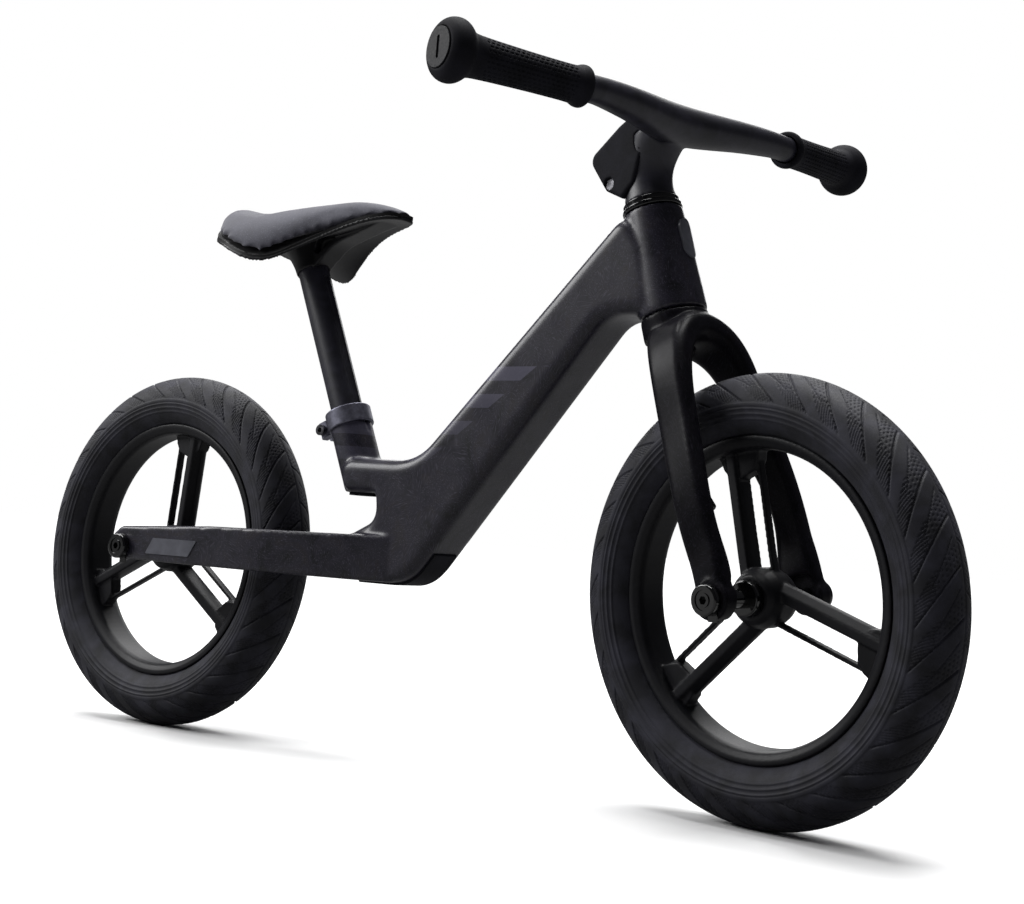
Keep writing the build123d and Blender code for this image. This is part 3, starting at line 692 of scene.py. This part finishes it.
# ------------------------------------------------------------------ the front end's place
@dataclass(frozen=True)
class Steering:
    """The leaning steering axis and the turn of the front end at rest."""

    ground_x: float = 0.3032
    angle: float = 73.2
    turn: float = -9.5

    def direction(self) -> Vector:
        """Unit vector up the axis."""
        slope = math.radians(self.angle)
        return Vector((-math.cos(slope), 0, math.sin(slope)))

    def matrix(self) -> Matrix:
        """Takes a front-end piece from straight ahead to its place at rest."""
        foot = Vector((self.ground_x, 0, 0))
        turn = Matrix.Rotation(math.radians(self.turn), 4, self.direction())
        return Matrix.Translation(foot) @ turn @ Matrix.Translation(-foot)


STEERING = Steering()


# ------------------------------------------------------------------ sub-assemblies
@dataclass
class Tyre:
    """Air tyre with a directional leaf tread and three ribs on each side wall, in millimetres."""

    crown_radius: float = 148.5
    half_width: float = 23.7
    centre_radius: float = 125.6
    wall: float = 2.4
    repeats: int = 30
    main_depth: float = 1.2
    tread_edge: float = 33.0                         # these three are measured round the casing
    rib_places: tuple[float, ...] = (39.0, 42.5, 46.0)
    step_place: float = 36.2
    sample: float = 0.55
    steps: int = 1500

    def profile(self) -> np.ndarray:
        """Closed casing section as (across, radius), outside first.

        Returns:
            Loop of points, evenly spaced.
        """
        half_height = self.crown_radius - self.centre_radius - 0.5
        outer = np.radians(np.linspace(-146, 146, 90))
        inner = np.radians(np.linspace(140, -140, 50))
        skin = np.stack([(self.half_width - 0.4) * np.sin(outer),
                         self.centre_radius + half_height * np.cos(outer)], 1)
        lining = np.stack([(self.half_width - self.wall - 0.4) * np.sin(inner),
                           self.centre_radius + (half_height - self.wall) * np.cos(inner)], 1)
        bead = np.array([[12.0, 105.5], [12.1, 102.4], [10.6, 102.4]])
        loop = np.vstack([skin, bead, lining, bead[::-1] * [-1, 1]])
        return resampled(loop, self.sample)

    def relief(self, profile: np.ndarray) -> Relief:
        """Height of tread and ribs over the casing.

        Args:
            profile: the casing section.

        Returns:
            Function of (profile index, angle) that gives millimetres.
        """
        lean = np.arctan2(profile[:, 0] / self.half_width,
                          (profile[:, 1] - self.centre_radius) / (self.crown_radius - self.centre_radius))
        reach = np.hypot(profile[:, 0] / self.half_width,
                         (profile[:, 1] - self.centre_radius) / (self.crown_radius - self.centre_radius))
        outside = reach > 0.94

        def height(index: np.ndarray, angle: np.ndarray) -> np.ndarray:
            """Relief at each grid point.

            Args:
                index: profile point numbers.
                angle: angle round the wheel.

            Returns:
                Heights in millimetres.
            """
            across = np.abs(lean[index]) * 23.3
            pitch = 2 * np.pi * self.crown_radius / self.repeats
            round_mm = angle * self.crown_radius + np.where(lean[index] > 0, pitch / 2, 0)
            sweep = round_mm + 0.55 * across + 0.018 * across ** 2
            phase = np.mod(sweep, pitch)
            tread = groove(across, self.tread_edge, 3.0)
            main = groove(phase - pitch / 2, 0.75) * groove(across - 17.5, 15.5, 2.0)
            vein = groove(np.mod(sweep + 0.55 * across, pitch) - pitch * 0.2, 0.45) * groove(across - 14, 9, 2)
            hatch = groove(np.mod(sweep - 0.9 * across, pitch / 14) - pitch / 28, 0.28, 0.3)
            hatch *= groove(across - 27, 6.0, 2.0) * groove(phase - pitch * 0.82, pitch * 0.3, 1.0)
            dots = np.hypot(np.mod(across, 2.9) - 1.45, np.mod(phase, pitch / 9) - pitch / 18)
            dots = groove(dots, 0.42, 0.35) * groove(across - 13, 11, 1.0) * groove(
                phase - pitch * 0.75, pitch * 0.19, 0.6)
            centre = groove(across, 0.5, 0.4)
            cut = np.maximum.reduce([main, 0.6 * vein, 0.5 * hatch, 0.55 * dots, 0.5 * centre]) * tread
            ribs = sum(groove(across - place, 0.35, 0.5) for place in self.rib_places)
            wall_step = 0.35 * groove(across - self.step_place, 0.9, 0.8)
            return np.where(outside[index], 0.5 - self.main_depth * cut + 0.5 * ribs + wall_step, 0.0)

        return height

    def build(self, name: str, node: str, body: Body, place: Matrix) -> None:
        """Make the tyre and let it stand for its CAD node.

        Args:
            name: name of the new piece.
            node: CAD node it replaces.
            body: wheel it rides on.
            place: wheel axis to row frame.
        """
        profile = self.profile()
        piece = ring_mesh(name, profile, self.steps, place, self.relief(profile))
        dress(piece, "tyre_rubber", body, (node,))


@dataclass
class Wheels:
    """Both wheels: castings with rounded edges and treaded tyres."""

    axle_x: float = 0.287
    axle_z: float = 0.1485
    tyre: Tyre = field(default_factory=Tyre)

    def axle_place(self, forward: float, flip: bool) -> Matrix:
        """Takes a local z axis to the wheel's axle.

        Args:
            forward: x of the axle.
            flip: turn the tread the other way round.

        Returns:
            Matrix to the row frame, straight ahead.
        """
        turn = Matrix.Rotation(math.radians(90 if flip else -90), 4, "X")
        return Matrix.Translation((forward, 0, self.axle_z)) @ turn

    def build(self) -> None:
        """Make both wheels' pieces."""
        for which, forward, body in (("front", self.axle_x, Body.FRONT_WHEEL),
                                     ("rear", -self.axle_x, Body.REAR_WHEEL)):
            turn = STEERING.matrix() if which == "front" else Matrix.Identity(4)
            self.tyre.build(f"{which}_tyre_treaded", f"{which}_tyre", body,
                            turn @ self.axle_place(forward, True))
            parts = tuple(sorted(node for node in frame["nodes"] if node.startswith(f"{which}_wheel_")))
            casting = softened_copy(parts, f"{which}_wheel_moulding", 0.9, 2)
            dress(casting, "wheel_nylon", body, parts)


@dataclass
class Mouldings:
    """Frame, fork and bar as even skins with soft blends where tubes and arms meet."""

    frame_voxel: float = 1.5
    fork_voxel: float = 1.2
    bar_voxel: float = 1.1

    def build(self) -> None:
        """Make the skins and let them stand for their CAD nodes."""
        for node, name, voxel, rounds, slot, body in (
                ("frame", "frame_moulding", self.frame_voxel, 9, "frame_composite", Body.FRAME),
                ("fork", "fork_moulding", self.fork_voxel, 8, "fork_composite", Body.STEERING),
                ("handlebar", "bar_moulding", self.bar_voxel, 10, "satin_composite", Body.STEERING),
                ("stem_pad", "stem_pad_moulding", 0.8, 3, "soft_rubber", Body.STEERING),
                ("saddle_base", "saddle_base_moulding", 1.0, 3, "cap_plastic", Body.SEAT)):
            dress(softened_copy((node,), name, voxel, rounds), slot, body, (node,))


@dataclass
class Grip:
    """Rubber grip with rows of small oblong dimples and a bell end, in millimetres."""

    inner_end: tuple[float, float, float] = (211.3, 112.0, 478.3)
    outer_end: tuple[float, float, float] = (194.9, 213.0, 482.0)
    bore: float = 9.6
    rows: int = 26
    pitch: float = 3.9
    dimple_depth: float = 0.6
    first: float = 13.0
    last: float = 84.0

    def place(self, side: Side) -> Matrix:
        """Takes the grip's axis to the bar's end.

        Args:
            side: which end of the bar.

        Returns:
            Matrix to the row frame.
        """
        inner, outer = (Vector((p[0], p[1] * side.value, p[2])) * MM for p in (self.inner_end, self.outer_end))
        aim = (outer - inner).to_track_quat("Z", "Y").to_matrix().to_4x4()
        return STEERING.matrix() @ Matrix.Translation(inner) @ aim

    def profile(self) -> np.ndarray:
        """Closed section as (along, radius).

        Returns:
            Loop of points, evenly spaced.
        """
        outline = np.array([(0, self.bore), (0, 12.6), (1.2, 14.2), (3.6, 14.4), (6.2, 13.6), (8.4, 12.4),
                            (30, 12.4), (52, 12.7), (86, 13.6), (92.5, 14.9), (96.5, 18.6), (100, 20.6),
                            (104.5, 21.0), (109, 19.4), (112.2, 15.6), (112.6, 13.2), (108.6, 13.0),
                            (108.5, self.bore)])
        return resampled(rounded_loop(outline[::-1], 2), 0.36)[::-1]

    def relief(self, profile: np.ndarray) -> Relief:
        """Depth of the dimples.

        Args:
            profile: the grip's section.

        Returns:
            Function of (profile index, angle) that gives millimetres.
        """
        def height(index: np.ndarray, angle: np.ndarray) -> np.ndarray:
            """Relief at each grid point, from its place along and round the grip."""
            along, radius = profile[index, 0], profile[index, 1]
            row = np.mod(angle * self.rows / (2 * np.pi), 1.0) - 0.5
            arc = row * 2 * np.pi * radius / self.rows
            shift = np.floor(angle * self.rows / (2 * np.pi)) % 2 * self.pitch / 2
            run = np.mod(along + shift, self.pitch) - self.pitch / 2
            dimple = groove(run, 1.05, 0.3) * groove(arc, 0.45, 0.3)
            covered = groove(along - (self.first + self.last) / 2, (self.last - self.first) / 2, 0.5)
            return np.where(radius > self.bore + 1.5, -self.dimple_depth * dimple * covered, 0.0)

        return height

    def build(self) -> None:
        """Make both grips."""
        profile = self.profile()
        for side in Side:
            word = side.name.lower()
            piece = ring_mesh(f"grip_dimpled_{word}", profile, self.rows * 10, self.place(side),
                              self.relief(profile))
            dress(piece, "soft_rubber", Body.STEERING, (f"grip_{word}",))


@dataclass
class Saddle:
    """Foam pad under a coated cover, in millimetres."""

    voxel: float = 4.0
    pressure: float = 3.0
    swell_cap: float = 2.0
    frames: int = 20

    def pad(self) -> bpy.types.Object:
        """Swell the pad's cover a little with a pressure simulation.

        Returns:
            The padded piece.
        """
        piece = new_piece("saddle_pad_padded", frame["nodes"]["saddle_pad"].data.copy())
        remesh = piece.modifiers.new("skin", "REMESH")
        remesh.mode, remesh.voxel_size = "VOXEL", self.voxel * MM
        settle(piece)
        rest = np.array([v.co for v in piece.data.vertices])
        cloth = piece.modifiers.new("cover", "CLOTH")
        cloth.settings.use_pressure = True
        cloth.settings.uniform_pressure_force = self.pressure
        cloth.settings.effector_weights.gravity = 0.0
        for number in range(1, self.frames + 1):
            bpy.context.scene.frame_set(number)
        settle(piece)
        bpy.context.scene.frame_set(1)
        moved = np.array([v.co for v in piece.data.vertices]) - rest
        length = np.linalg.norm(moved, axis=1, keepdims=True)
        moved *= np.minimum(1.0, self.swell_cap * MM / np.maximum(length, 1e-9))
        piece.data.vertices.foreach_set("co", (rest + moved).ravel())
        smooth = piece.modifiers.new("tension", "SMOOTH")
        smooth.iterations = 4
        finer = piece.modifiers.new("finer", "SUBSURF")
        finer.levels = finer.render_levels = 1
        settle(piece)
        return piece

    def build(self) -> None:
        piece = self.pad()
        dress(piece, "saddle_cover", Body.SEAT, ("saddle_pad",))


# ------------------------------------------------------------------ studio
@dataclass(frozen=True)
class Softbox:
    """One rectangular soft light, in metres and watts."""

    name: str
    place: tuple[float, float, float]
    aim: tuple[float, float, float]
    size: tuple[float, float]
    power: float

    def hang(self) -> None:
        """Put the light in the scene."""
        data = bpy.data.lights.new(self.name, "AREA")
        data.shape, data.energy = "RECTANGLE", self.power
        data.size, data.size_y = self.size
        lamp = bpy.data.objects.new(self.name, data)
        lamp.location = self.place
        lamp.rotation_euler = (Vector(self.aim) - Vector(self.place)).to_track_quat("-Z", "Y").to_euler()
        bpy.context.scene.collection.objects.link(lamp)


@dataclass
class Studio:
    """Pale floor, wide soft lights and the camera."""

    camera_place: tuple[float, float, float] = (0.7703, -0.9349, 0.1735)
    camera_tilt: tuple[float, float, float] = (97.415, -3.872, 33.577)    # looking up, roll, heading
    lens: float = 55.02
    shift: tuple[float, float] = (-0.084, -0.1053)
    room_light: float = 0.05
    ceiling_light: float = 4.3
    ceiling_angle: float = 48.0
    ceiling_tilt: tuple[float, float, float] = (-8.0, -10.0, 0.0)
    softboxes: tuple[Softbox, ...] = (
        Softbox("key", (-1.9, -1.2, 1.5), (0, 0, 0.3), (1.5, 1.2), 46.0),
        Softbox("rear_edge", (-0.9, 1.6, 1.3), (0, 0, 0.35), (1.6, 1.0), 16.0),
    )
    floor_reach: float = 40.0

    def floor(self) -> None:
        """Lay the floor."""
        reach = self.floor_reach
        mesh = bpy.data.meshes.new("floor")
        mesh.from_pydata([(-reach, -reach, 0), (reach, -reach, 0), (reach, reach, 0), (-reach, reach, 0)],
                         [], [(0, 1, 2, 3)])
        floor = new_piece("floor", mesh)
        floor.data.materials.append(PaintedFloor("studio_floor_painted").material())

    def lights(self) -> None:
        """Set a white backdrop in a dim room, a wide overhead light and two softboxes."""
        world = bpy.data.worlds.new("studio")
        world.use_nodes = True
        tree = world.node_tree
        room = tree.nodes["Background"]
        room.inputs["Color"].default_value = linear("#f4f5ff")
        room.inputs["Strength"].default_value = self.room_light
        backdrop = tree.nodes.new("ShaderNodeBackground")
        backdrop.inputs["Color"].default_value = linear("#ffffff")
        seen = tree.nodes.new("ShaderNodeLightPath")
        either = tree.nodes.new("ShaderNodeMixShader")
        tree.links.new(seen.outputs["Is Camera Ray"], either.inputs[0])
        tree.links.new(room.outputs[0], either.inputs[1])
        tree.links.new(backdrop.outputs[0], either.inputs[2])
        tree.links.new(either.outputs[0], tree.nodes["World Output"].inputs["Surface"])
        bpy.context.scene.world = world
        sky = bpy.data.lights.new("ceiling", "SUN")
        sky.energy, sky.angle = self.ceiling_light, math.radians(self.ceiling_angle)
        ceiling = bpy.data.objects.new("ceiling", sky)
        ceiling.rotation_euler = [math.radians(angle) for angle in self.ceiling_tilt]
        bpy.context.scene.collection.objects.link(ceiling)
        for softbox in self.softboxes:
            softbox.hang()

    def camera(self) -> None:
        """Place the camera."""
        data = bpy.data.cameras.new("camera")
        data.lens, data.sensor_width, data.sensor_fit = self.lens, 36.0, "HORIZONTAL"
        data.shift_x, data.shift_y = self.shift
        data.clip_start = 0.01
        camera = bpy.data.objects.new("camera", data)
        camera.location = self.camera_place
        camera.rotation_euler = [math.radians(angle) for angle in self.camera_tilt]
        bpy.context.scene.collection.objects.link(camera)
        bpy.context.scene.camera = camera

    def build(self) -> None:
        """Set up floor, lights, camera and a plain view transform."""
        self.floor()
        self.lights()
        self.camera()
        bpy.context.scene.view_settings.view_transform = "Standard"


def dress_cad_nodes() -> None:
    """Give every CAD node the finish of its slot."""
    for entry in frame["record"]["subparts"]:
        dress(frame["nodes"][entry["node"]], entry["material_slot"])


def write_sizes() -> None:
    """Bring the scene's placements up to date."""
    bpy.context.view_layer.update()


def main() -> None:
    """Build the looks in order."""
    logging.basicConfig(level=logging.INFO, format="%(name)s %(message)s")
    dress_cad_nodes()
    Mouldings().build()
    Wheels().build()
    Grip().build()
    Saddle().build()
    Studio().build()
    write_sizes()


if __name__ == "__main__":
    main()
